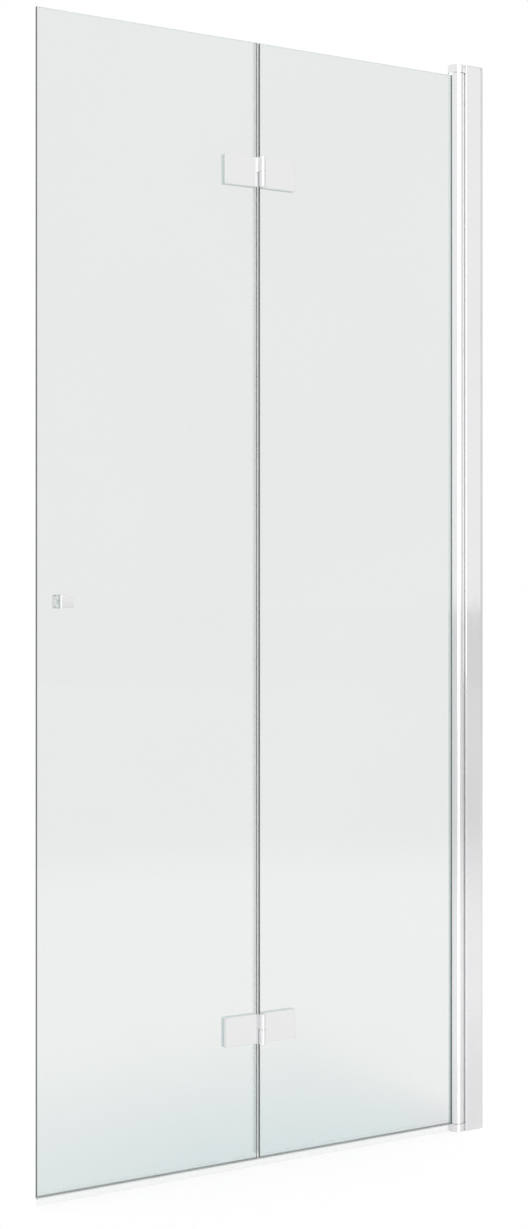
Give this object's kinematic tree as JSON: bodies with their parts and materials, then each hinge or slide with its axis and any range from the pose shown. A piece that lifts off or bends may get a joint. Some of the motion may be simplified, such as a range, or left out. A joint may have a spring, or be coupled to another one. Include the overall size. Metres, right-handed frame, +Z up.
{
  "type": "folding shower screen",
  "caption": "Frameless folding shower screen: clear glass leaves on chrome hinges, swinging on a round pivot tube beside a sliding wall post.",
  "frame": {"origin": "where the wall plane meets the floor, in the middle plane of the closed glass", "axes": "+X into the wall along the closed screen, +Y away from the side with the hinge barrels, +Z up"},
  "size_m": [0.9, 0.0406, 2],
  "materials": {
    "glass": "clear toughened, faint green edge",
    "chrome": "polished chrome plate",
    "bright_aluminium": "polished, chrome look",
    "satin_aluminium": "satin anodised",
    "steel": "bright stainless",
    "clear_vinyl": "clear flexible strip",
    "gasket": "milky translucent gasket",
    "plastic": "white bearing plastic"
  },
  "bodies": {
    "wall": {"wall_channel": "satin_aluminium", "adjusting_screws": "steel"},
    "post": {"post_profile": "bright_aluminium", "post_top_cover": "chrome", "upper_pivot_bracket": "chrome", "upper_pivot_pin": "steel", "upper_bracket_screws": "steel", "lower_pivot_bracket": "chrome", "lower_pivot_pin": "steel", "lower_bracket_screws": "steel"},
    "wall_panel": {"pivot_tube": "bright_aluminium", "upper_tube_bush": "plastic", "lower_tube_bush": "plastic", "tube_gasket": "gasket", "wall_side_glass": "glass", "wall_side_drip_seal": "clear_vinyl", "upper_hinge_pin": "steel", "lower_hinge_pin": "steel", "upper_wall_hinge_leaf": "chrome", "upper_wall_hinge_back_plate": "chrome", "upper_wall_hinge_front_gasket": "gasket", "upper_wall_hinge_back_gasket": "gasket", "upper_wall_hinge_screws": "steel", "lower_wall_hinge_leaf": "chrome", "lower_wall_hinge_back_plate": "chrome", "lower_wall_hinge_front_gasket": "gasket", "lower_wall_hinge_back_gasket": "gasket", "lower_wall_hinge_screws": "steel"},
    "free_panel": {"free_glass": "glass", "free_drip_seal": "clear_vinyl", "middle_seal_top": "clear_vinyl", "middle_seal_centre": "clear_vinyl", "middle_seal_bottom": "clear_vinyl", "upper_hinge_bush": "plastic", "lower_hinge_bush": "plastic", "knob_front": "chrome", "knob_back": "chrome", "knob_stud": "steel", "knob_front_washer": "gasket", "knob_back_washer": "gasket", "upper_free_hinge_leaf": "chrome", "upper_free_hinge_back_plate": "chrome", "upper_free_hinge_front_gasket": "gasket", "upper_free_hinge_back_gasket": "gasket", "upper_free_hinge_screws": "steel", "lower_free_hinge_leaf": "chrome", "lower_free_hinge_back_plate": "chrome", "lower_free_hinge_front_gasket": "gasket", "lower_free_hinge_back_gasket": "gasket", "lower_free_hinge_screws": "steel"}
  },
  "joints": [
    {"name": "wall_adjust", "type": "slide", "parent": "wall", "child": "post", "axis": [-1, 0, 0], "range_m": [-0.001, 0.014]},
    {"name": "screen_swing", "type": "hinge", "parent": "post", "child": "wall_panel", "pos_m": [-0.0513, 0.002, 0], "axis": [0, 0, -1], "range_deg": [0, 90]},
    {"name": "panel_fold", "type": "hinge", "parent": "wall_panel", "child": "free_panel", "pos_m": [-0.4794, -0.0145, 0], "axis": [0, 0, 1], "range_deg": [0, 175]}
  ]
}
